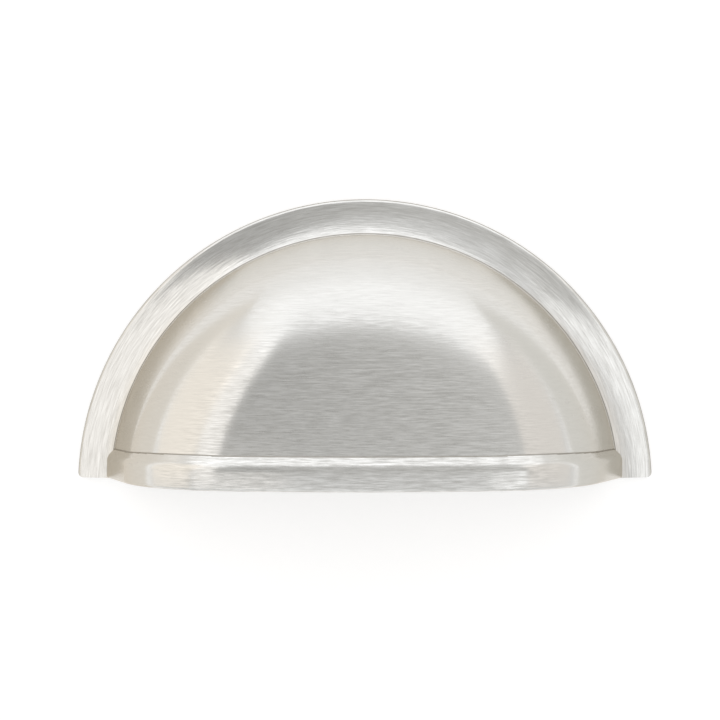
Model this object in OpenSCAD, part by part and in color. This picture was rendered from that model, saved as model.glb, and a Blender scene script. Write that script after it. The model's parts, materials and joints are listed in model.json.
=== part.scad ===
// Half-round cup pull for a drawer, cast in one piece.
// X runs along the drawer front, Y points into the drawer and Z points up.
// The origin is on the back face, midway between the two screw holes.

/* [Flange] */
// Radius of the half-round flange
flange_r = 47.5; // [45:0.5:54]
// Thickness of the flange at its outer edge
flange_edge_t = 1.2; // [1:0.1:1.8]
// Thickness of the flange where the dome rises from it
flange_root_t = 2.5; // [2:0.1:3.4]
// Radius of the shallow hollow in the flange's face
flange_hollow_r = 22; // [16:1:60]
// Rounding of the outer front edge
flange_edge_round = 0.6; // [0.3:0.1:0.9]
// Rounding of the two bottom corners
flange_corner_round = 1; // [0.5:0.1:2.5]

/* [Dome] */
// Radius of the dome where it leaves the flange
dome_r = 41.5; // [39:0.5:43.5]
// Depth from the back face to the front of the rim
projection = 25; // [22:0.5:30]
// Lean of the dome's sides, in degrees
side_lean = 28; // [18:1:32]
// Radius of the shoulder between the sides and the front
shoulder_r = 23; // [18:0.5:26]
// Radius of the nearly flat front
front_r = 128; // [90:2:200]
// Fillet between the flange and the dome
root_fillet = 0.7; // [0.3:0.1:1.2]
// Wall thickness of the dome
wall = 2.4; // [1.8:0.1:3.2]
// Height of the bottom edge above the axis of the round outline
axis_drop = 1.5; // [0.5:0.1:4]

/* [Rim] */
// Height of the raised rim, to the line where its upper curve turns hollow
rim_h = 4.6; // [3.6:0.1:7]
// How far the rim stands out from the dome
rim_proud = 0.6; // [0.5:0.05:1]
// Rounding of the rim's lower edge
rim_low_round = 0.4; // [0.2:0.1:1.2]
// Rounding of the rim's upper edge
rim_top_round = 2.1; // [1.2:0.1:2.8]
// Fillet between the rim and the dome
rim_top_fillet = 1.2; // [0.6:0.1:1.6]
// Lean with which that fillet runs out on the dome, in degrees
rim_runout = 36; // [30:1:40]

/* [Screw bosses] */
// Distance between the screw holes
screw_spacing = 64; // [56:1:66]
// Height of the screw holes above the bottom edge
screw_rise = 11; // [9:0.5:14]
// Diameter of a boss at the back
boss_d = 8.4; // [7:0.1:10]
// Draft of a boss, in degrees
boss_draft = 1.5; // [0.5:0.5:3]
// Diameter of the hole before it is tapped
thread_bore_d = 3.3; // [2.5:0.1:4.2]
// Depth of the hole's straight wall
thread_depth = 9; // [6:0.5:9.5]
// Countersink at the mouth of the hole
thread_countersink = 0.4; // [0.2:0.1:0.8]

/* [Hidden] */
$fa = 2;
$fs = 0.25;

// Angle of the cone at the bottom of a drilled hole
drill_point_angle = 118;
// Overrun of cuts and of pieces that are trimmed
over = 3;
// Width of the blocks that cut away everything past a plane
cut_w = 4 * flange_r;
// Overlap by which an arc reaches past a surface that it runs into
hair = 0.003;
// The same overlap where round and straight pieces of the rim run into each other
rim_hair = 0.02;
// Angle by which an arc goes on past its end, inside the piece that follows it
arc_past = 6;
// Straight steps in each curve of the rim's section
rim_steps = 5;
// Depths to which the rim's straight and round pieces reach into the wall
rim_root = wall * 0.4;
rim_round_root = wall * 0.6;
// Plane of the bottom edge, and height of the axis of the round outline
bottom_z = -screw_rise;
axis_z = bottom_z - axis_drop;
// Direction along the dome's side, away from the back, and square to it
side_u = [-sin(side_lean), cos(side_lean)];
side_n = [cos(side_lean), sin(side_lean)];
side_p = [dome_r + flange_root_t * tan(side_lean), 0];
// Arcs of the dome's front and shoulder, as radius and depth
front_c = [0, projection - rim_proud - front_r];
shoulder_c = arc_centre(side_p, side_u, -side_n, shoulder_r, front_c, front_r, 1);
front_n = unit(shoulder_c - front_c);
front_half = 90 - atan2(front_n.y, front_n.x);
shoulder_turn = 90 - side_lean - front_half;
// Rounding of the flange's edge, hollow of its face, and fillet at the dome's root
edge_c = [flange_r - flange_edge_round, flange_edge_t - flange_edge_round];
root_p = [dome_r, flange_root_t];
hollow_c = apart_from(root_p, flange_hollow_r, edge_c, flange_hollow_r + flange_edge_round);
edge_b = edge_c + flange_edge_round * unit(hollow_c - edge_c);
fillet_c = arc_centre(side_p, side_u, side_n, root_fillet, hollow_c, flange_hollow_r, -1);
fillet_a = hollow_c + flange_hollow_r * unit(fillet_c - hollow_c);
// Rim's upper curve: a rounding and a fillet that meet at one angle
rim_curve_r = rim_top_round + rim_top_fillet;
rim_turn = acos((rim_top_round + rim_top_fillet * cos(rim_runout) - rim_proud) / rim_curve_r);
rim_fillet_h = rim_top_fillet * (sin(rim_turn) - sin(rim_runout));
rim_face_h = rim_h - rim_top_round * sin(rim_turn);
// Centre of the rounding at the flange's bottom corner, seen from the front
corner_c = [sqrt(pow(flange_r - flange_corner_round, 2) - pow(axis_drop + flange_corner_round, 2)),
            bottom_z + flange_corner_round];

function unit(v) = v / norm(v);

// Centre of a circle of radius r that touches, from inside, the circle of radius big_r about c,
// and touches the line through p along u on its side n
function arc_centre(p, u, n, r, c, big_r, way) =
    let (q = p + r * n, w = q - c, along = w * u)
    q + (way * sqrt(along * along - w * w + pow(big_r - r, 2)) - along) * u;

// Point at distance a_r from a and b_r from b, on the left of the way from a to b
function apart_from(a, a_r, b, b_r) =
    let (gap = norm(b - a), u = (b - a) / gap, along = (a_r * a_r - b_r * b_r + gap * gap) / (2 * gap))
    a + along * u + sqrt(a_r * a_r - along * along) * [-u.y, u.x];

// Points of an arc, from one direction to another
function arc_points(c, r, from, to) =
    [for (i = [0:rim_steps]) let (a = from + (to - from) * i / rim_steps) c + r * [cos(a), sin(a)]];

// Slice of a disc between two directions
module sector(c, r, from, to) {
    middle = (from + to) / 2;
    reach = 2 * r;
    intersection() {
        translate(c) circle(r);
        polygon([c, for (a = [from - arc_past, middle, to + arc_past]) c + reach * [cos(a), sin(a)]]);
    }
}

// Half-section inside the dome's surface by the depth given, from a level at or behind the back face
module dome_section(inset, back) {
    side_top = shoulder_c + (shoulder_r - inset) * side_n;
    front_edge = front_c + (front_r - inset) * front_n;
    foot = side_top - side_u * (side_top.y - back) / side_u.y;
    polygon([[0, back], foot, side_top, front_edge, [0, front_edge.y]]);
    sector(shoulder_c, shoulder_r - inset + hair, side_lean, 90 - front_half);
    intersection() {
        translate(front_c) circle(front_r - inset);
        translate([0, front_edge.y - over]) square([front_edge.x, projection]);
    }
}

// Half-section of the flange, with its hollow face and the fillet to the dome
module flange_section() {
    fillet_b = fillet_c - root_fillet * side_n;
    to_root = fillet_a - hollow_c;
    difference() {
        union() {
            polygon([[0, 0], [flange_r, 0], edge_c + [flange_edge_round, 0], edge_b,
                     fillet_a, fillet_b, [0, fillet_b.y]]);
            translate(edge_c) intersection() {
                circle(flange_edge_round);
                translate(-flange_edge_round / 2 * [1, 1]) square(2 * flange_edge_round);
            }
        }
        intersection() {
            translate(hollow_c) circle(flange_hollow_r + hair);
            polygon([hollow_c, hollow_c + to_root + over * unit(to_root), [flange_r + over, -over]]);
        }
        translate(fillet_c) circle(root_fillet + 2 * hair);
    }
}

// Turns a half-section about the axis of the round outline
module revolve() {
    translate([0, 0, axis_z]) rotate([90, 0, 0]) rotate_extrude() children();
}

// Section of the rim, as distance from its face and height above the bottom edge
module rim_section(root) {
    inner = -rim_proud - root;
    round_c = [-rim_top_round, rim_face_h];
    meet_c = round_c + rim_curve_r * [cos(rim_turn), sin(rim_turn)];
    polygon([
        [inner, 0],
        each arc_points([-rim_low_round, rim_low_round], rim_low_round, -90, 0),
        each arc_points(round_c, rim_top_round, 0, rim_turn),
        each arc_points(meet_c, rim_top_fillet, 180 + rim_turn, 180 + rim_runout),
        [inner, rim_h + rim_fillet_h + root / tan(rim_runout)],
    ]);
}

// Rim round the dome's plan: front, shoulders and straight sides
module rim() {
    face_r = shoulder_r + rim_proud;
    side_top = shoulder_c + face_r * side_n;
    side_length = (side_top.y + over) / side_u.y;
    foot = side_top - side_length * side_u;
    translate([0, -front_c.y, bottom_z])
        rotate_extrude(angle = 2 * front_half, start = 270 - front_half)
            translate([front_r + rim_proud, 0]) rim_section(rim_root);
    for (side = [0, 1]) mirror([side, 0, 0]) {
        translate([shoulder_c.x, -shoulder_c.y, bottom_z])
            rotate_extrude(angle = shoulder_turn + 2 * arc_past, start = 270 + front_half - arc_past)
                translate([face_r + rim_hair, 0]) rim_section(rim_round_root);
        translate([foot.x, -foot.y, bottom_z]) rotate([0, 0, -side_lean]) rotate([90, 0, 0])
            linear_extrude(side_length) rim_section(rim_root);
    }
}

// Cut that rounds a bottom corner of the flange, seen from the front
module corner_cut() {
    below = corner_c - [0, flange_corner_round];
    outward = [0, axis_z] + flange_r * unit(corner_c - [0, axis_z]);
    away = unit((below + outward) / 2 - corner_c) * over;
    difference() {
        polygon([below, below + away, outward + away, outward]);
        translate(corner_c) circle(flange_corner_round + hair);
    }
}

module bosses() {
    intersection() {
        for (side = [-1, 1]) translate([side * screw_spacing / 2, 0, 0]) rotate([90, 0, 0])
            cylinder(d1 = boss_d, d2 = boss_d + 2 * projection * tan(boss_draft), h = projection);
        revolve() dome_section(wall / 2, 0);
    }
}

module screw_hole() {
    bore_r = thread_bore_d / 2;
    mouth_r = bore_r + thread_countersink;
    point_h = bore_r / tan(drill_point_angle / 2);
    rotate([90, 0, 0]) rotate_extrude()
        polygon([[0, -over], [mouth_r, -over], [mouth_r, 0], [bore_r, thread_countersink],
                 [bore_r, thread_depth], [0, thread_depth + point_h]]);
}

// Flange and dome before they are hollowed, cut off at the bottom edge
module shell_outside() {
    difference() {
        revolve() union() {
            dome_section(0, 0);
            flange_section();
        }
        translate([-cut_w / 2, -cut_w / 2, bottom_z - cut_w]) cube(cut_w);
        for (side = [0, 1]) mirror([side, 0, 0])
            translate([0, over, 0]) rotate([90, 0, 0]) linear_extrude(2 * over) corner_cut();
    }
}

module cup_pull() color("#c4c0b8") {
    difference() {
        union() {
            difference() {
                union() {
                    shell_outside();
                    rim();
                }
                revolve() dome_section(wall, -over);
                translate([-cut_w / 2, 0, -cut_w / 2]) cube(cut_w);
            }
            bosses();
        }
        for (side = [-1, 1]) translate([side * screw_spacing / 2, 0, 0]) screw_hole();
    }
}

cup_pull();
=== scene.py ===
"""Half-round cup pull in satin nickel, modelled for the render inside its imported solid."""
import json
import math
from collections import namedtuple

import bpy
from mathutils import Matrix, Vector


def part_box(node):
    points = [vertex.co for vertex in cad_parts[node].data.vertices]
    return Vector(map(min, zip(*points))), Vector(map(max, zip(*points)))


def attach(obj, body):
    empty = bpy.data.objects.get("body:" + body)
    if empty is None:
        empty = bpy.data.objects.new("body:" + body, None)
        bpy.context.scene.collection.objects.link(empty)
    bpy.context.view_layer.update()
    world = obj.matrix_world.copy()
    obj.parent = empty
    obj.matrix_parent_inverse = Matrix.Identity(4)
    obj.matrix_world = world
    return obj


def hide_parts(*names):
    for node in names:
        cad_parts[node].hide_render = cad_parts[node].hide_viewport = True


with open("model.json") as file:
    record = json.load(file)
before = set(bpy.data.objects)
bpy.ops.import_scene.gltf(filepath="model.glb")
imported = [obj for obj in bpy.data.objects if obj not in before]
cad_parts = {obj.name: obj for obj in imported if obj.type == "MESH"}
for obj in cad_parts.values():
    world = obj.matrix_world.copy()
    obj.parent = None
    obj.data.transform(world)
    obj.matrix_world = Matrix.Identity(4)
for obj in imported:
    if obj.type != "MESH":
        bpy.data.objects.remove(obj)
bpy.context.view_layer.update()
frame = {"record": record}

bl_info = {
    "name": "Cup pull",
    "version": (1, 0, 0),
    "blender": (4, 5, 0),
    "location": "3D View > Sidebar > Cup pull",
    "description": "Models a half-round cast cup pull with its finish and a studio stage",
    "category": "Add Mesh",
}

MM = 0.001
# A cut takes a point this close to its plane as lying on it
NEAR = 1e-7
# Points closer than this are merged
MERGE_GAP = 0.002 * MM
NODE = "cup_pull"
CAD_LOW, CAD_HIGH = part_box(NODE)
SCREWS = next(m for m in frame["record"]["mounts"] if m["name"] == "screw_holes")


def length(name, description, default):
    """A length in metres, given in millimetres."""
    return bpy.props.FloatProperty(
        name=name, description=description, default=default * MM, min=0.0,
        precision=5, subtype="DISTANCE", unit="LENGTH")


def angle(name, description, default):
    """An angle in radians, given in degrees."""
    return bpy.props.FloatProperty(
        name=name, description=description, default=math.radians(default), subtype="ANGLE", unit="ROTATION")


def linear(hex_colour):
    """Linear colour of an sRGB hex value."""
    parts = [int(hex_colour[i:i + 2], 16) / 255 for i in (1, 3, 5)]
    return [c / 12.92 if c <= 0.04045 else ((c + 0.055) / 1.055) ** 2.4 for c in parts]


def colour(name, description, hex_colour):
    """A colour, given as an sRGB hex value."""
    return bpy.props.FloatVectorProperty(
        name=name, description=description, default=linear(hex_colour),
        size=3, min=0.0, max=1.0, subtype="COLOR")


class CastingSizes(bpy.types.PropertyGroup):
    """Sizes of the casting."""
    axis_drop: length("Axis drop", "Height of the bottom edge above the axis of the round outline", 1.5)
    flange_edge_t: length("Flange edge", "Thickness of the flange at its outer edge", 1.2)
    flange_root_t: length("Flange root", "Thickness of the flange where the dome rises from it", 2.5)
    flange_hollow_r: length("Flange hollow", "Radius of the shallow hollow in the flange's face", 22)
    flange_edge_round: length("Flange rounding", "Rounding of the flange's outer front edge", 0.6)
    # Painted shade: a thin line along the flange's outer edge is painted darker
    painted_edge_shade_w: length(
        "Edge line", "Width of the dull line along the flange's outer edge, seen from the front", 0.18)
    flange_corner_round: length("Flange corners", "Rounding of the flange's bottom corners", 1)
    dome_r: length("Dome radius", "Radius of the dome where it leaves the flange", 41.5)
    side_lean: angle("Side lean", "Lean of the dome's sides", 28)
    shoulder_r: length("Shoulder", "Radius of the shoulder between the sides and the front", 23)
    front_r: length("Front", "Radius of the nearly flat front", 128)
    front_set_back: length(
        "Front set-back", "How much further the front lies behind the rim than the sides do", 0.5)
    root_fillet: length("Root fillet", "Fillet between the flange and the dome", 0.7)
    wall: length("Wall", "Wall thickness of the dome", 2.4)
    back_round: length("Back edge", "Rounding of the edges round the back face", 0.2)
    rim_h: length("Rim height", "Height of the rim, to where its upper curve turns hollow", 4.2)
    rim_proud: length("Rim proud", "How far the rim stands out from the dome", 0.6)
    rim_low_round: length("Rim lower edge", "Rounding of the rim's lower edge", 0.4)
    rim_top_round: length("Rim upper edge", "Rounding of the rim's upper edge", 2.1)
    rim_top_fillet: length("Rim fillet", "Fillet between the rim and the dome", 1.2)
    rim_runout: angle("Rim run-out", "Lean with which that fillet runs out on the dome", 36)
    # Painted shade: the crease between the rim and the dome is painted darker within this reach
    painted_crease_shade_w: length("Crease", "Reach of the dull crease between the rim and the dome", 0.12)
    boss_d: length("Boss", "Diameter of a screw boss at the back", 8.4)
    boss_draft: angle("Boss draft", "Draft of a screw boss", 1.5)
    bore_d: length("Bore", "Diameter of a screw hole before it is tapped", 3.3)
    bore_depth: length("Bore depth", "Depth of a screw hole's straight wall", 9)
    countersink: length("Countersink", "Countersink at the mouth of a screw hole", 0.4)
    thread_d: length("Thread", "Outer diameter of the thread in a screw hole", 4)
    thread_pitch: length("Thread pitch", "Pitch of that thread", 0.7)


class FinishColours(bpy.types.PropertyGroup):
    """Colours of the finishes."""
    nickel_pale: colour("Nickel, pale", "Bright tops of the brush lines", "#f4f4f2")
    nickel_deep: colour("Nickel, deep", "Floors of the brush lines", "#c1c0bc")
    # Painted shade: these two colours darken the creases and the flange's outer edge, in random patches
    crease_shade_pale: colour("Crease, pale", "Cleaner places of the unbrushed creases and edge", "#b8b5af")
    crease_shade_deep: colour("Crease, deep", "Dull places of those creases and that edge", "#8e8a83")
    cast_pale: colour("Cast nickel, pale", "Smooth places of the plated inside", "#d6d3ce")
    cast_deep: colour("Cast nickel, deep", "Pores of the plated inside", "#b5b1aa")
    thread_pale: colour("Thread, pale", "Bright rings of the tapped holes", "#dcc690")
    thread_deep: colour("Thread, deep", "Dull rings of the tapped holes", "#b59b62")
    wall_white: colour("Wall", "White wall behind the pull", "#cfcfcf")


def unit(v):
    """The vector at length 1."""
    return v / v.length


def arc_centre(p, u, n, r, c, big_r, way):
    """Centre of a circle of radius r that touches a line and, from inside, a larger circle.

    The line runs through p along u, and n points from it to the centre. The larger circle has the radius
    big_r about c. Of the two such circles, a way of 1 picks the one further along u, and -1 the other.
    """
    q = p + r * n
    w = q - c
    along = w.dot(u)
    return q + (way * math.sqrt(along ** 2 - w.dot(w) + (big_r - r) ** 2) - along) * u


def apart_from(a, a_r, b, b_r):
    """Point at distance a_r from a and b_r from b, on the left of the way from a to b."""
    gap = (b - a).length
    u = (b - a) / gap
    along = (a_r ** 2 - b_r ** 2 + gap ** 2) / (2 * gap)
    return a + along * u + math.sqrt(a_r ** 2 - along ** 2) * Vector((-u.y, u.x))


class Section:
    """Points and arc centres of the half-section, as radius and depth, from the sizes."""

    def __init__(self, s, set_back=0.0):
        self.s = s
        self.bottom_z = CAD_LOW.z
        self.axis_z = CAD_LOW.z - s.axis_drop
        self.flange_r = CAD_HIGH.z - self.axis_z
        self.projection = -CAD_LOW.y
        self.side_u = Vector((-math.sin(s.side_lean), math.cos(s.side_lean)))
        self.side_n = Vector((math.cos(s.side_lean), math.sin(s.side_lean)))
        side_p = Vector((s.dome_r + s.flange_root_t * math.tan(s.side_lean), 0))
        self.front_c = Vector((0, self.projection - s.rim_proud - set_back - s.front_r))
        self.shoulder_c = arc_centre(
            side_p, self.side_u, -self.side_n, s.shoulder_r, self.front_c, s.front_r, 1)
        self.front_n = unit(self.shoulder_c - self.front_c)
        self.front_half = math.atan2(self.front_n.x, self.front_n.y)
        self.shoulder_turn = math.pi / 2 - s.side_lean - self.front_half
        self.edge_c = Vector((self.flange_r - s.flange_edge_round, s.flange_edge_t - s.flange_edge_round))
        self.hollow_c = apart_from(
            Vector((s.dome_r, s.flange_root_t)), s.flange_hollow_r,
            self.edge_c, s.flange_hollow_r + s.flange_edge_round)
        self.edge_b = self.edge_c + s.flange_edge_round * unit(self.hollow_c - self.edge_c)
        self.fillet_c = arc_centre(
            side_p, self.side_u, self.side_n, s.root_fillet, self.hollow_c, s.flange_hollow_r, -1)
        self.fillet_a = self.hollow_c + s.flange_hollow_r * unit(self.fillet_c - self.hollow_c)
        self.fillet_b = self.fillet_c - s.root_fillet * self.side_n

    def gap(self, place):
        """Distance of a place from the dome's outside, negative inside it."""
        p = Vector((math.hypot(place.x, place.z - self.axis_z), -place.y))
        out = p - self.shoulder_c
        if p.x < self.shoulder_c.x + self.s.shoulder_r * self.front_n.x:
            return (p - self.front_c).length - self.s.front_r
        if out.dot(self.side_u) < 0:
            return out.dot(self.side_n) - self.s.shoulder_r
        return out.length - self.s.shoulder_r


def deselect_all():
    """Leaves edit mode and deselects every object."""
    if bpy.context.object and bpy.context.object.mode != "OBJECT":
        bpy.ops.object.mode_set(mode="OBJECT")
    bpy.ops.object.select_all(action="DESELECT")


class Pen:
    """Draws a section as a chain of edges, in the plane through origin with the axes u and v."""

    def __init__(self, name, origin, u, v, start):
        self.origin, self.u, self.v = Vector(origin), Vector(u), Vector(v)
        self.at = Vector(start)
        deselect_all()
        bpy.ops.mesh.primitive_plane_add(size=MM, location=self.place(start))
        self.piece = bpy.context.object
        self.piece.name = name
        bpy.ops.object.transform_apply(location=True, rotation=True, scale=True)
        bpy.ops.object.mode_set(mode="EDIT")
        bpy.ops.mesh.select_mode(type="VERT")
        bpy.ops.mesh.select_all(action="SELECT")
        bpy.ops.mesh.merge(type="CENTER")

    def place(self, point):
        """Point of the section in space."""
        return self.origin + point[0] * self.u + point[1] * self.v

    def line(self, to):
        """Extrudes the last vertex straight to a point."""
        to = Vector(to)
        bpy.ops.mesh.extrude_region_move(
            TRANSFORM_OT_translate={"value": self.place(to) - self.place(self.at)})
        self.at = to

    def arc(self, centre, to, steps):
        """Spins the last vertex about a centre until it reaches a point, the short way round."""
        start, end = self.at - centre, Vector(to) - centre
        turn = math.atan2(start.x * end.y - start.y * end.x, start.dot(end))
        bpy.ops.mesh.spin(steps=steps, angle=turn, center=self.place(centre), axis=self.v.cross(self.u))
        self.at = Vector(to)

    def close(self):
        """Joins the last vertex to the first one, and leaves the whole chain selected."""
        ends_of_chain(self.piece)
        bpy.ops.mesh.edge_face_add()
        bpy.ops.mesh.select_all(action="SELECT")


def ends_of_chain(piece):
    """Selects the two vertices of a chain that only one edge uses."""
    bpy.ops.object.mode_set(mode="OBJECT")
    uses = [0] * len(piece.data.vertices)
    for edge in piece.data.edges:
        for i in edge.vertices:
            uses[i] += 1
    pick(piece, "vertices", [i for i, n in enumerate(uses) if n == 1])


def pick(piece, kind, indices):
    """Selects only the given vertices, edges or polygons of a piece, and enters edit mode."""
    if piece.mode != "OBJECT":
        bpy.ops.object.mode_set(mode="OBJECT")
    for group in (piece.data.polygons, piece.data.edges, piece.data.vertices):
        group.foreach_set("select", [False] * len(group))
    items = getattr(piece.data, kind)
    for i in indices:
        items[i].select = True
    bpy.ops.object.mode_set(mode="EDIT")
    bpy.ops.mesh.select_mode(type={"vertices": "VERT", "edges": "EDGE", "polygons": "FACE"}[kind])


# Radius at which a half-section stops next to the axis of the round outline
POLE_R = 0.2 * MM
# Steps of a half turn about that axis
TURN_STEPS = 160


def section_pen(name, k, start):
    """Pen for a half-section, drawn as radius and depth in the level plane through the axis."""
    return Pen(name, (0, 0, k.axis_z), (1, 0, 0), (0, -1, 0), start)


def turn_half(piece, k, cut_z):
    """Spins a half-section half round its axis and cuts it level, closed by a flat face."""
    bpy.ops.mesh.select_all(action="SELECT")
    bpy.ops.mesh.spin(steps=TURN_STEPS, angle=math.pi, center=(0, 0, k.axis_z), axis=(0, 1, 0))
    bpy.ops.mesh.select_all(action="SELECT")
    bpy.ops.mesh.bisect(
        plane_co=(0, 0, cut_z), plane_no=(0, 0, 1), use_fill=True, clear_inner=True, threshold=NEAR)
    flatten(piece, cut_z)
    close_mesh(piece)


def flatten(piece, level):
    """Sets the vertices of a level cut to exactly that height."""
    bpy.ops.object.mode_set(mode="OBJECT")
    near = 0.001 * MM
    pick(piece, "vertices", [v.index for v in piece.data.vertices if abs(v.co.z - level) < near])
    bpy.ops.transform.resize(value=(1, 1, 0), center_override=(0, 0, level))


def close_mesh(piece):
    """Merges doubles, points the faces outwards and leaves edit mode."""
    bpy.ops.mesh.select_all(action="SELECT")
    bpy.ops.mesh.remove_doubles(threshold=MERGE_GAP)
    bpy.ops.mesh.normals_make_consistent(inside=False)
    bpy.ops.object.mode_set(mode="OBJECT")


def front_start(k, inset):
    """Point of the front's arc, at a depth inside the surface, next to the axis."""
    r = k.s.front_r - inset
    return Vector((POLE_R, k.front_c.y + math.sqrt(r ** 2 - POLE_R ** 2)))


def dome_arcs(pen, k, inset):
    """Draws the front and the shoulder, at a depth inside the surface."""
    pen.arc(k.front_c, k.front_c + (k.s.front_r - inset) * k.front_n, steps=8)
    pen.arc(k.shoulder_c, k.shoulder_c + (k.s.shoulder_r - inset) * k.side_n, steps=32)


def make_outside(k):
    """Flange and dome before they are hollowed."""
    s = k.s
    pen = section_pen("outside", k, front_start(k, 0))
    dome_arcs(pen, k, 0)
    pen.line(k.fillet_b)
    pen.arc(k.fillet_c, k.fillet_a, steps=6)
    pen.arc(k.hollow_c, k.edge_b, steps=8)
    pen.arc(k.edge_c, k.edge_c + Vector((s.flange_edge_round, 0)), steps=6)
    back_c = Vector((k.flange_r - s.back_round, s.back_round))
    pen.line(back_c + Vector((s.back_round, 0)))
    pen.arc(back_c, back_c - Vector((0, s.back_round)), steps=4)
    pen.line((POLE_R, 0))
    turn_half(pen.piece, k, k.bottom_z)
    return pen.piece


def make_core(k, finish):
    """Hollow of the dome, with the two bosses left out of it.

    It reaches past the back face and below the bottom edge, so that it opens both.
    """
    s = k.s
    past = 3 * MM
    below = 0.5 * MM
    pen = section_pen("core", k, front_start(k, s.wall))
    dome_arcs(pen, k, s.wall)
    side_top = k.shoulder_c + (s.shoulder_r - s.wall) * k.side_n
    foot = side_top - k.side_u * side_top.y / k.side_u.y
    lift = s.back_round * (1 - k.side_n.y) / k.side_u.y
    round_c = foot + s.back_round * k.side_n + lift * k.side_u
    pen.line(round_c - s.back_round * k.side_n)
    pen.arc(round_c, Vector((round_c.x, 0)), steps=4)
    pen.line((round_c.x, -past))
    pen.line((POLE_R, -past))
    turn_half(pen.piece, k, k.bottom_z - below)
    pen.piece.data.materials.append(finish)
    for side in (-1, 1):
        boss = make_boss(k, side)
        boss.data.materials.append(finish)
        cut(pen.piece, boss, "DIFFERENCE")
    return pen.piece


def make_boss(k, side):
    """Drafted cone of a screw boss, from behind the back face to beyond the dome's front."""
    s = k.s
    behind = 5 * MM
    draft = math.tan(s.boss_draft)
    deep = k.projection + behind
    deselect_all()
    bpy.ops.mesh.primitive_cone_add(
        vertices=64, radius1=s.boss_d / 2 - behind * draft, radius2=s.boss_d / 2 + k.projection * draft,
        depth=deep, location=(side * screw_x(), behind - deep / 2, 0), rotation=(math.pi / 2, 0, 0))
    boss = bpy.context.object
    boss.name = "boss_cutter"
    bpy.ops.object.transform_apply(location=True, rotation=True, scale=True)
    return boss


def screw_x():
    """Distance of a screw hole from the middle."""
    return SCREWS["dims"]["spacing_x_mm"] / 2 * MM


# Narrow faces, so that the crease between the rim and the dome can take painted shade of its own
RUNOUT_STEPS = 20


def make_rim(k):
    """Raised rim along the bottom edge: one half is swept from the middle to the flange, and mirrored.

    It is rooted in half of the wall, and its ends stop inside the flange.
    """
    s = k.s
    root = 0.5 * s.wall
    foot_depth = 1 * MM
    curve_r = s.rim_top_round + s.rim_top_fillet
    turn = math.acos((s.rim_top_round + s.rim_top_fillet * math.cos(s.rim_runout) - s.rim_proud) / curve_r)
    face_h = s.rim_h - s.rim_top_round * math.sin(turn)
    fillet_h = s.rim_top_fillet * (math.sin(turn) - math.sin(s.rim_runout))
    inner = -s.rim_proud - root
    low_c = Vector((-s.rim_low_round, s.rim_low_round))
    round_c = Vector((-s.rim_top_round, face_h))
    away = Vector((math.cos(turn), math.sin(turn)))
    meet_c = round_c + curve_r * away
    runout = Vector((math.cos(s.rim_runout), math.sin(s.rim_runout)))
    pen = Pen("rim", (0, -k.projection, k.bottom_z), (0, -1, 0), (0, 0, 1), (inner, 0))
    pen.line(low_c - Vector((0, s.rim_low_round)))
    pen.arc(low_c, low_c + Vector((s.rim_low_round, 0)), steps=4)
    pen.line(round_c + Vector((s.rim_top_round, 0)))
    pen.arc(round_c, round_c + s.rim_top_round * away, steps=12)
    pen.arc(meet_c, meet_c - s.rim_top_fillet * runout, steps=6)
    for n in range(1, RUNOUT_STEPS + 1):
        inward = root * n / RUNOUT_STEPS
        pen.line((-s.rim_proud - inward, s.rim_h + fillet_h + inward / math.tan(s.rim_runout)))
    pen.close()
    side_top = k.shoulder_c + (s.shoulder_r + s.rim_proud) * k.side_n
    run = (side_top.y - foot_depth) / k.side_u.y
    up = (0, 0, 1)
    bpy.ops.mesh.spin(steps=12, angle=-k.front_half, center=(0, -k.front_c.y, 0), axis=up)
    bpy.ops.mesh.spin(
        steps=36, angle=-k.shoulder_turn, center=(k.shoulder_c.x, -k.shoulder_c.y, 0), axis=up)
    bpy.ops.mesh.extrude_region_move(
        TRANSFORM_OT_translate={"value": (-run * k.side_u.x, run * k.side_u.y, 0)})
    flatten(pen.piece, k.bottom_z)
    bpy.ops.object.mode_set(mode="OBJECT")
    mirror = pen.piece.modifiers.new("mirror", "MIRROR")
    mirror.merge_threshold = MERGE_GAP
    apply_all(pen.piece)
    bpy.ops.object.mode_set(mode="EDIT")
    bpy.ops.mesh.select_all(action="SELECT")
    bpy.ops.mesh.fill_holes(sides=0)
    close_mesh(pen.piece)
    return pen.piece


def make_corner_cutter(k, side):
    """Cutter that rounds a bottom corner of the flange, seen from the front.

    It starts behind the back face and goes through the flange.
    """
    r = k.s.flange_corner_round
    over = 3 * MM
    deep = 3 * over
    axis = Vector((0, k.axis_z))
    corner_c = Vector((math.sqrt((k.flange_r - r) ** 2 - (k.s.axis_drop + r) ** 2), k.bottom_z + r))
    below = corner_c - Vector((0, r))
    outward = axis + k.flange_r * unit(corner_c - axis)
    away = unit((below + outward) / 2 - corner_c) * over
    pen = Pen("corner_cutter", (0, over, 0), (side, 0, 0), (0, 0, 1), outward + away)
    pen.line(outward)
    pen.arc(corner_c, below, steps=8)
    pen.line(below + away)
    pen.close()
    bpy.ops.mesh.edge_face_add()
    bpy.ops.mesh.extrude_region_move(TRANSFORM_OT_translate={"value": (0, -deep, 0)})
    close_mesh(pen.piece)
    return pen.piece


# Angle of a drill's point
DRILL_POINT = math.radians(118)


def make_bore(k, side):
    """Drilled hole with its countersink and drill point."""
    s = k.s
    over = 1 * MM
    bore_r = s.bore_d / 2
    mouth_r = bore_r + s.countersink
    point_h = bore_r / math.tan(DRILL_POINT / 2)
    centre = (side * screw_x(), 0, 0)
    pen = Pen("bore_cutter", centre, (1, 0, 0), (0, -1, 0), (0, -over))
    pen.line((mouth_r, -over))
    pen.line((mouth_r, 0))
    pen.line((bore_r, s.countersink))
    pen.line((bore_r, s.bore_depth))
    pen.line((0, s.bore_depth + point_h))
    bpy.ops.mesh.select_all(action="SELECT")
    bpy.ops.mesh.spin(steps=48, angle=2 * math.pi, center=centre, axis=(0, 1, 0))
    close_mesh(pen.piece)
    return pen.piece


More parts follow.
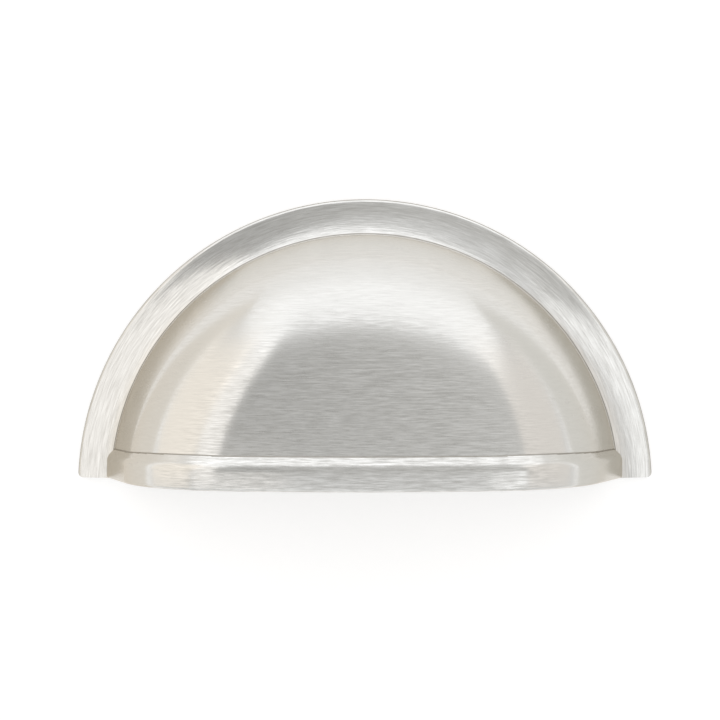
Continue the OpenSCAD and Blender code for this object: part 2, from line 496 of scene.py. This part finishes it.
def make_thread(k, side):
    """Ridge of the tap's thread, which cuts its groove into the wall of the hole.

    The ridge reaches from inside the hole to the thread's outer diameter, and from just outside the mouth to
    short of the hole's end.
    """
    s = k.s
    inside = 0.12 * MM
    mouth = 0.2 * MM
    short = 1.2 * MM
    crest = s.thread_pitch / 16
    inner = s.bore_d / 2 - inside
    outer = s.thread_d / 2
    half = s.thread_pitch / 2
    start = -1.5 * s.thread_pitch
    end = s.bore_depth - short
    turns = math.ceil((end - start) / s.thread_pitch) + 1
    pen = Pen("thread_cutter", (0, -start, 0), (1, 0, 0), (0, -1, 0), (inner, -half))
    pen.line((outer, -crest))
    pen.line((outer, crest))
    pen.line((inner, half))
    bpy.ops.object.mode_set(mode="OBJECT")
    screw = pen.piece.modifiers.new("turns", "SCREW")
    screw.axis = "Y"
    screw.steps = screw.render_steps = 40
    screw.screw_offset = -s.thread_pitch
    screw.iterations = turns
    screw.use_merge_vertices = True
    screw.merge_threshold = MERGE_GAP
    apply_all(pen.piece)
    pen.piece.location = (side * screw_x(), 0, 0)
    select_only(pen.piece)
    bpy.ops.object.transform_apply(location=True, rotation=True, scale=True)
    bpy.ops.object.mode_set(mode="EDIT")
    for level, way in ((mouth, 1), (-end, -1)):
        bpy.ops.mesh.select_all(action="SELECT")
        bpy.ops.mesh.bisect(
            plane_co=(0, level, 0), plane_no=(0, way, 0), use_fill=True, clear_outer=True, threshold=NEAR)
    close_mesh(pen.piece)
    return pen.piece


def select_only(piece):
    """Selects one piece and makes it the active one, outside edit mode."""
    deselect_all()
    piece.select_set(True)
    bpy.context.view_layer.objects.active = piece


def apply_all(piece):
    """Applies every modifier of a piece."""
    select_only(piece)
    for modifier in list(piece.modifiers):
        bpy.ops.object.modifier_apply(modifier=modifier.name)


def cut(piece, other, operation):
    """Joins another solid to a piece or takes it away, keeping the finish of each, and deletes it."""
    boolean = piece.modifiers.new("cut", "BOOLEAN")
    boolean.operation = operation
    boolean.solver = "EXACT"
    boolean.material_mode = "TRANSFER"
    boolean.object = other
    apply_all(piece)
    mesh = other.data
    bpy.data.objects.remove(other)
    bpy.data.meshes.remove(mesh)


def add_node(tree, kind, inputs=None, **settings):
    """Adds a node with its settings, and sets or links its inputs by name or number."""
    made = tree.nodes.new(kind)
    for key, value in settings.items():
        setattr(made, key, value)
    for key, value in (inputs or {}).items():
        if isinstance(value, bpy.types.NodeSocket):
            tree.links.new(value, made.inputs[key])
        else:
            made.inputs[key].default_value = value
    return made


# The metal reflects less, and warmer, where it is seen at a flat angle
GRAZING_TINT = [*linear("#efe9e1"), 1]
# Most values of a noise texture lie between these two
NOISE_LOW, NOISE_HIGH = 0.3, 0.7
# Length of one band of a wave texture at a scale of 1
WAVE_BAND = math.pi / 10

# Lines of a brush: width, run and depth of a line, roughness of its floor and of its top, and anisotropy.
# Real lines are a few hundredths of a millimetre wide and too fine to show, so these are drawn coarser.
Brush = namedtuple("Brush", "width run depth rough_floor rough_top anisotropy")
LEVEL_BRUSH = Brush(0.2 * MM, 2.6 * MM, 0.008 * MM, 0.28, 0.18, 0.85)
ROUND_BRUSH = Brush(0.26 * MM, 4 * MM, 0.016 * MM, 0.19, 0.13, 0.3)
# Share of the pale colour in the floor and in the top of a line. The lines have more contrast on the flat
# front than on the shoulders, and it fades over a short way.
FRONT_SHARES = (0.1, 0.9)
SIDE_SHARES = (0.44, 0.56)
ROUND_SHARES = (0.2, 0.8)
FADE = 3 * MM
# Radius at which the run of a line round the flange is measured
ROUND_R = 45 * MM
# Patches in the painted shade of the creases, grain and relief of the cast skin, and spacing of the rings
# from the tap
PATCH = 1.5 * MM
SKIN_GRAIN = 0.6 * MM
SKIN_RELIEF = 0.02 * MM
RING_SPACING = 0.296 * MM


def new_metal(name):
    """Material with an empty node tree, its shader and the piece's own coordinates."""
    material = bpy.data.materials.new(name)
    material.use_nodes = True
    tree = material.node_tree
    tree.nodes.clear()
    shader = add_node(tree, "ShaderNodeBsdfPrincipled", {"Metallic": 1.0, "Specular Tint": GRAZING_TINT})
    add_node(tree, "ShaderNodeOutputMaterial", {"Surface": shader.outputs["BSDF"]})
    place = add_node(tree, "ShaderNodeTexCoord").outputs["Object"]
    return material, tree, shader, place


def mixed_tone(tree, share, deep, pale):
    """Colour between a deep and a pale one, by the pale one's share."""
    tone = add_node(
        tree, "ShaderNodeMix", {"Factor": share, "A": [*deep, 1], "B": [*pale, 1]}, data_type="RGBA")
    return tone.outputs["Result"]


def spread_noise(tree, noise, low, high):
    """Stretches the usual values of a noise texture from one value to another."""
    spread = add_node(
        tree, "ShaderNodeMapRange",
        {"Value": noise, "From Min": NOISE_LOW, "From Max": NOISE_HIGH, "To Min": low, "To Max": high})
    return spread.outputs["Result"]


def add_relief(tree, shader, height, depth):
    """Gives a shader the relief of a height, with the depth of a full step."""
    relief = add_node(tree, "ShaderNodeBump", {"Height": height, "Strength": 1.0, "Distance": depth})
    tree.links.new(relief.outputs["Normal"], shader.inputs["Normal"])


def brush_lines(tree, shader, place, colours, brush, shares, across):
    """Lines of a brush along the first axis of a place, drawn over the shader's colour, gloss and relief.

    Across is the direction at right angles to the lines, in which they spread a highlight.
    """
    stretched = add_node(
        tree, "ShaderNodeVectorMath", {0: place, 1: (1 / brush.run, 1 / brush.run, 1 / brush.width)},
        operation="MULTIPLY")
    lines = add_node(
        tree, "ShaderNodeTexNoise",
        {"Vector": stretched.outputs[0], "Scale": 1.0, "Detail": 3.0, "Roughness": 0.6}).outputs["Fac"]
    tone = mixed_tone(tree, spread_noise(tree, lines, *shares), colours.nickel_deep, colours.nickel_pale)
    gloss = spread_noise(tree, lines, brush.rough_floor, brush.rough_top)
    tree.links.new(tone, shader.inputs["Base Color"])
    tree.links.new(gloss, shader.inputs["Roughness"])
    add_relief(tree, shader, lines, brush.depth)
    shader.inputs["Anisotropic"].default_value = brush.anisotropy
    tree.links.new(across, shader.inputs["Tangent"])


def nickel_brushed_level(colours, k):
    """Satin nickel plating, brushed level across the dome and the rim.

    Fine level lines spread a highlight up and down, so that bright and dark zones have soft, streaky edges.
    """
    material, tree, shader, place = new_metal("satin_nickel_brushed_level")
    front_edge = -(k.shoulder_c.y + k.s.shoulder_r * k.front_n.y)
    depth = add_node(tree, "ShaderNodeSeparateXYZ", {"Vector": place}).outputs["Y"]
    shares = [
        add_node(
            tree, "ShaderNodeMapRange",
            {"Value": depth, "From Min": front_edge, "From Max": front_edge + FADE,
             "To Min": at_front, "To Max": at_side}).outputs["Result"]
        for at_front, at_side in zip(FRONT_SHARES, SIDE_SHARES)]
    across = add_node(tree, "ShaderNodeCombineXYZ", {"Z": 1.0})
    brush_lines(tree, shader, place, colours, LEVEL_BRUSH, shares, across.outputs["Vector"])
    return material


def nickel_brushed_round(colours, axis_z):
    """Satin nickel plating, brushed round the flange.

    The lines follow the round outline, so that its face glints in streaks along the arc.
    """
    material, tree, shader, place = new_metal("satin_nickel_brushed_round")
    out = add_node(tree, "ShaderNodeVectorMath", {0: place, 1: (0, 0, axis_z)}, operation="SUBTRACT")
    flat = add_node(tree, "ShaderNodeVectorMath", {0: out.outputs[0], 1: (1, 0, 1)}, operation="MULTIPLY")
    parts = add_node(tree, "ShaderNodeSeparateXYZ", {"Vector": flat.outputs[0]})
    turn = add_node(
        tree, "ShaderNodeMath", {0: parts.outputs["X"], 1: parts.outputs["Z"]}, operation="ARCTAN2")
    run = add_node(tree, "ShaderNodeMath", {0: turn.outputs[0], 1: ROUND_R}, operation="MULTIPLY")
    radius = add_node(tree, "ShaderNodeVectorMath", {0: flat.outputs[0]}, operation="LENGTH")
    along = add_node(tree, "ShaderNodeCombineXYZ", {"X": run.outputs[0], "Z": radius.outputs["Value"]})
    across = add_node(tree, "ShaderNodeVectorMath", {0: flat.outputs[0]}, operation="NORMALIZE")
    brush_lines(tree, shader, along.outputs[0], colours, ROUND_BRUSH, ROUND_SHARES, across.outputs[0])
    return material


def nickel_painted_shade(colours):
    """Satin nickel plating in the creases and along the flange's edge, painted darker as shade.

    Its painted shade, on a rougher face, draws thin lines round the dome, above the rim and along the
    outline.
    """
    material, tree, shader, place = new_metal("satin_nickel_unbrushed")
    patches = add_node(
        tree, "ShaderNodeTexNoise",
        {"Vector": place, "Scale": 1 / PATCH, "Detail": 3.0, "Roughness": 0.6}).outputs["Fac"]
    # Painted shade: the creases and the flange's edge are coloured dark to stand in for their shade
    tone = mixed_tone(tree, patches, colours.crease_shade_deep, colours.crease_shade_pale)
    tree.links.new(tone, shader.inputs["Base Color"])
    shader.inputs["Roughness"].default_value = 0.4
    return material


def nickel_as_cast(colours):
    """Nickel plating over the rough casting, inside and at the back.

    It is duller than the brushed face and has the fine pebbled skin of the mould.
    """
    material, tree, shader, place = new_metal("nickel_plated_as_cast")
    skin = add_node(
        tree, "ShaderNodeTexNoise",
        {"Vector": place, "Scale": 1 / SKIN_GRAIN, "Detail": 4.0, "Roughness": 0.6}).outputs["Fac"]
    tone = mixed_tone(tree, skin, colours.cast_deep, colours.cast_pale)
    tree.links.new(tone, shader.inputs["Base Color"])
    tree.links.new(spread_noise(tree, skin, 0.5, 0.4), shader.inputs["Roughness"])
    add_relief(tree, shader, skin, SKIN_RELIEF)
    return material


def bare_brass(colours):
    """Bare brass of the tapped holes, bright from the drill and the tap.

    It is yellower than the plating, and fine rings along the hole catch the light.
    """
    material, tree, shader, place = new_metal("bare_brass_tapped")
    rings = add_node(
        tree, "ShaderNodeTexWave", {"Vector": place, "Scale": WAVE_BAND / RING_SPACING, "Distortion": 1.0},
        bands_direction="Y").outputs["Fac"]
    tone = mixed_tone(tree, rings, colours.thread_deep, colours.thread_pale)
    gloss = add_node(tree, "ShaderNodeMapRange", {"Value": rings, "To Min": 0.34, "To Max": 0.24})
    tree.links.new(tone, shader.inputs["Base Color"])
    tree.links.new(gloss.outputs["Result"], shader.inputs["Roughness"])
    return material


def finish_faces(piece, slot, indices):
    """Gives some faces of a piece the finish in a slot."""
    pick(piece, "polygons", indices)
    piece.active_material_index = slot
    bpy.ops.object.material_slot_assign()
    bpy.ops.object.mode_set(mode="OBJECT")


# Cosine past which a face counts as square to an axis, and angle past which an edge stays sharp
SQUARE = 0.99
SHARP = math.radians(24)
# Slots of the finishes on the casting; the fourth holds the painted shade of the creases and the flange's
# edge
LEVEL, ROUND, CAST, PAINTED_SHADE = range(4)


def finish_outside(casting, k):
    """Gives the flange and the back their finishes, and paints shade into the crease at the dome's foot and
    along the flange's outer edge.
    """
    slots = {ROUND: [], CAST: [], PAINTED_SHADE: []}
    crease_r = (k.fillet_a.x + k.fillet_b.x) / 2
    edge_r = k.flange_r - k.s.painted_edge_shade_w
    for face in casting.data.polygons:
        r = math.hypot(face.center.x, face.center.z - k.axis_z)
        if face.normal.y > SQUARE:
            slots[CAST].append(face.index)
        elif face.normal.z > -SQUARE and r > crease_r:
            # Painted shade: the crease at the dome's foot and a thin line along the outer edge take the
            # shaded finish
            slots[ROUND if k.fillet_a.x < r <= edge_r else PAINTED_SHADE].append(face.index)
    for slot, faces in slots.items():
        finish_faces(casting, slot, faces)


def finish_rim(rim, k):
    """Paints shade into the crease between the rim and the dome: it takes the finish in the rim's second
    slot.
    """
    middle = k.bottom_z + k.s.rim_h / 2
    finish_faces(rim, 1, [
        face.index for face in rim.data.polygons
        if face.center.z > middle and abs(k.gap(face.center)) < k.s.painted_crease_shade_w])


class CUPPULL_OT_casting(bpy.types.Operator):
    """Models the casting: flange, dome, rim, screw bosses and tapped holes"""
    bl_idname = "cuppull.casting"
    bl_label = "Casting"

    def execute(self, context):
        colours = context.scene.finish_colours
        s = context.scene.casting_sizes
        k = Section(s, s.front_set_back)
        level = nickel_brushed_level(colours, k)
        cast = nickel_as_cast(colours)
        # Painted shade for the creases and the flange's outer edge
        shaded = nickel_painted_shade(colours)
        brass = bare_brass(colours)
        casting = make_outside(k)
        for finish in (level, nickel_brushed_round(colours, k.axis_z), cast, shaded):
            casting.data.materials.append(finish)
        finish_outside(casting, k)
        rim = make_rim(Section(s))
        for finish in (level, shaded):
            rim.data.materials.append(finish)
        finish_rim(rim, k)
        cut(casting, rim, "UNION")
        for side in (-1, 1):
            corner = make_corner_cutter(k, side)
            corner.data.materials.append(level)
            cut(casting, corner, "DIFFERENCE")
        cut(casting, make_core(k, cast), "DIFFERENCE")
        for side in (-1, 1):
            for make in (make_bore, make_thread):
                tool = make(k, side)
                tool.data.materials.append(brass)
                cut(casting, tool, "DIFFERENCE")
        casting.name = "cup_pull_casting"
        bpy.ops.object.mode_set(mode="EDIT")
        close_mesh(casting)
        bpy.ops.object.shade_smooth_by_angle(angle=SHARP)
        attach(casting, "root")
        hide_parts(NODE)
        return {"FINISHED"}


# White wall: its side and its distance behind the pull in metres, and what is added to it for the eye
WALL_SIDE = 3
WALL_GAP = 0.05 * MM
WALL_LIFT = 0.5
STUDIO_GREY = "#e7e7e7"

# Softboxes: azimuth and height of the middle in degrees, width and height in metres, and how bright they
# read in a mirror, in red, green and blue
Softbox = namedtuple("Softbox", "name azimuth height width tall light")
SOFTBOX_DISTANCE = 0.8
SOFTBOXES = (
    Softbox("softbox_top", 8, 72, 1.4, 0.9, (0.51, 0.51, 0.52)),
    Softbox("softbox_left_front", -33, 11, 0.5, 0.8, (0.38, 0.35, 0.32)),
    Softbox("softbox_left", -70, 14, 0.55, 0.9, (0.35, 0.28, 0.19)),
    Softbox("softbox_right", 66, 14, 0.6, 0.9, (0.12, 0.08, 0.04)),
    Softbox("softbox_low", 0, -48, 1.2, 0.5, (0.18, 0.18, 0.18)),
)
# Strip light close to the pull on the right, which the flange there reflects, in metres
STRIP_PLACE = (0.1, -0.138, 0.02)
STRIP_TARGET = (0.04, 0, 0.02)
STRIP_WIDTH, STRIP_TALL = 0.065, 0.16
STRIP_LIGHT = (0.4, 0.4, 0.4)

# Upright cards: places of their two sides and heights of their corners in millimetres, the corners going
# round from the foot of the first side, then their tint and how bright they read at either side
Card = namedtuple("Card", "name start end heights tint at_start at_end")
# Painted reflection: the grey card glows and shows only in reflections, standing in for the dim, unlit
# camera side of the studio
CAMERA_SIDE_SHADE_CARD = Card("grey_card", (-86, -125), (58, -51), (-18, -9, 45, 132), "#fffefc", 0.47, 0.67)
# Painted reflection: these cards glow beside the pull and show only in reflections, standing in for the
# shaded wall there
WALL_SHADE_CARDS = (
    Card("tan_card_left", (-48, -0.2), (-61, -14), (-30, -30, 70, 70), "#fff9f0", 0.912, 0.912),
    Card("tan_card_right", (48, -0.2), (61, -14), (-30, -30, 70, 70), "#fffdf8", 0.847, 0.847),
)

# Camera: place in metres, focal length and sensor in millimetres, and shift in frame widths
CAMERA_PLACE = (0.008, -0.207, 0.0084)
LENS, SENSOR = 62.3, 36
SHIFT = -0.074
CLIP_START = 10 * MM


def new_stage_material(name):
    """Material with an empty node tree."""
    material = bpy.data.materials.new(name)
    material.use_nodes = True
    material.node_tree.nodes.clear()
    return material, material.node_tree


def wall_paint(colours):
    """Matt white paint that reads white to the eye and in reflections.

    From behind it is clear, so that the back of the pull can be seen and lit through the wall.
    """
    material, tree = new_stage_material("matt_white_paint")
    paths = add_node(tree, "ShaderNodeLightPath").outputs
    seen = add_node(
        tree, "ShaderNodeMath", {0: paths["Is Camera Ray"], 1: paths["Is Glossy Ray"]}, operation="ADD")
    seen = add_node(
        tree, "ShaderNodeMath", {0: seen.outputs[0], 1: paths["Is Transmission Ray"]}, operation="ADD")
    lift = add_node(tree, "ShaderNodeMath", {0: seen.outputs[0], 1: WALL_LIFT}, operation="MULTIPLY")
    glow = add_node(tree, "ShaderNodeEmission", {"Strength": lift.outputs[0]})
    paint = add_node(tree, "ShaderNodeBsdfDiffuse", {"Color": [*colours.wall_white, 1]})
    front = add_node(tree, "ShaderNodeAddShader", {0: paint.outputs[0], 1: glow.outputs[0]})
    side = add_node(tree, "ShaderNodeNewGeometry").outputs["Backfacing"]
    clear = add_node(tree, "ShaderNodeBsdfTransparent")
    mixed = add_node(tree, "ShaderNodeMixShader", {0: side, 1: front.outputs[0], 2: clear.outputs[0]})
    add_node(tree, "ShaderNodeOutputMaterial", {"Surface": mixed.outputs[0]})
    return material


def card_paint(card):
    """Glowing card whose painted brightness goes from one level at its first side to another at its second
    side.
    """
    material, tree = new_stage_material(card.name)
    strength = card.at_start
    if card.at_end != card.at_start:
        place = add_node(tree, "ShaderNodeTexCoord").outputs["Object"]
        across = add_node(tree, "ShaderNodeSeparateXYZ", {"Vector": place})
        strength = add_node(
            tree, "ShaderNodeMapRange",
            {"Value": across.outputs["X"], "From Min": card.start[0] * MM, "From Max": card.end[0] * MM,
             "To Min": card.at_start, "To Max": card.at_end}).outputs["Result"]
    glow = add_node(tree, "ShaderNodeEmission", {"Color": [*linear(card.tint), 1], "Strength": strength})
    add_node(tree, "ShaderNodeOutputMaterial", {"Surface": glow.outputs[0]})
    return material


def add_lamp(context, name, place, target, width, tall, light):
    """Area lamp at a place that faces a target; its light is the radiance seen in a mirror."""
    lamp = bpy.data.lights.new(name, "AREA")
    lamp.shape = "RECTANGLE"
    lamp.size = width
    lamp.size_y = tall
    strength = max(light)
    lamp.energy = strength * math.pi * width * tall
    lamp.color = [c / strength for c in light]
    holder = bpy.data.objects.new(name, lamp)
    holder.location = place
    holder.rotation_euler = (Vector(place) - Vector(target)).to_track_quat("Z", "Y").to_euler()
    context.scene.collection.objects.link(holder)


def add_softbox(context, box):
    """Softbox that faces the pull from its azimuth and height."""
    a, h = math.radians(box.azimuth), math.radians(box.height)
    away = Vector((math.sin(a) * math.cos(h), -math.cos(a) * math.cos(h), math.sin(h)))
    add_lamp(context, box.name, SOFTBOX_DISTANCE * away, (0, 0, 0), box.width, box.tall, box.light)


def add_wall(material):
    """White wall that faces the camera, just behind the pull."""
    deselect_all()
    bpy.ops.mesh.primitive_plane_add(
        size=WALL_SIDE, location=(0, WALL_GAP, 0), rotation=(math.pi / 2, 0, 0))
    wall = bpy.context.object
    wall.name = "white_wall"
    bpy.ops.object.transform_apply(location=True, rotation=True, scale=True)
    wall.data.materials.append(material)


def add_card(card):
    """Upright glowing card, seen only in reflections, which paints in a reflection of shade."""
    start, end = Vector((*card.start, 0)) * MM, Vector((*card.end, 0)) * MM
    wide = (end - start).length
    low_start, low_end, high_end, high_start = [h * MM for h in card.heights]
    pen = Pen(card.name, start, unit(end - start), (0, 0, 1), (0, low_start))
    pen.line((wide, low_end))
    pen.line((wide, high_end))
    pen.line((0, high_start))
    pen.close()
    bpy.ops.mesh.edge_face_add()
    bpy.ops.object.mode_set(mode="OBJECT")
    pen.piece.data.materials.append(card_paint(card))
    pen.piece.visible_camera = False
    pen.piece.visible_diffuse = False
    return pen.piece


def add_camera(context):
    """Camera level with the pull, square to the wall."""
    camera = bpy.data.cameras.new("camera")
    camera.lens = LENS
    camera.sensor_width = SENSOR
    camera.shift_x = SHIFT
    camera.clip_start = CLIP_START
    holder = bpy.data.objects.new("camera", camera)
    holder.location = CAMERA_PLACE
    holder.rotation_euler = (math.pi / 2, 0, 0)
    context.scene.collection.objects.link(holder)
    context.scene.camera = holder


class CUPPULL_OT_stage(bpy.types.Operator):
    """Sets up the white wall, the studio light and the camera"""
    bl_idname = "cuppull.stage"
    bl_label = "Stage"

    def execute(self, context):
        colours = context.scene.finish_colours
        add_wall(wall_paint(colours))
        add_card(CAMERA_SIDE_SHADE_CARD)
        for card in WALL_SHADE_CARDS:
            add_card(card).visible_shadow = False
        for box in SOFTBOXES:
            add_softbox(context, box)
        add_lamp(context, "strip_right", STRIP_PLACE, STRIP_TARGET, STRIP_WIDTH, STRIP_TALL, STRIP_LIGHT)
        add_camera(context)
        context.scene.view_settings.view_transform = "Standard"
        world = bpy.data.worlds.new("studio")
        world.use_nodes = True
        world.node_tree.nodes["Background"].inputs["Color"].default_value = [*linear(STUDIO_GREY), 1]
        context.scene.world = world
        return {"FINISHED"}


class CUPPULL_PT_sidebar(bpy.types.Panel):
    """Lists the operators, sizes and colours of the cup pull"""
    bl_idname = "CUPPULL_PT_sidebar"
    bl_label = "Cup pull"
    bl_space_type = "VIEW_3D"
    bl_region_type = "UI"
    bl_category = "Cup pull"

    def draw(self, context):
        layout = self.layout
        layout.operator(CUPPULL_OT_casting.bl_idname)
        layout.operator(CUPPULL_OT_stage.bl_idname)
        for group in (context.scene.casting_sizes, context.scene.finish_colours):
            box = layout.box()
            for name in group.bl_rna.properties.keys():
                if name not in ("rna_type", "name"):
                    box.prop(group, name)


CLASSES = (CastingSizes, FinishColours, CUPPULL_OT_casting, CUPPULL_OT_stage, CUPPULL_PT_sidebar)


def register():
    for cls in CLASSES:
        bpy.utils.register_class(cls)
    bpy.types.Scene.casting_sizes = bpy.props.PointerProperty(type=CastingSizes)
    bpy.types.Scene.finish_colours = bpy.props.PointerProperty(type=FinishColours)


def unregister():
    del bpy.types.Scene.finish_colours
    del bpy.types.Scene.casting_sizes
    for cls in reversed(CLASSES):
        bpy.utils.unregister_class(cls)


def main():
    register()
    bpy.ops.cuppull.casting()
    bpy.ops.cuppull.stage()


if __name__ == "__main__":
    main()
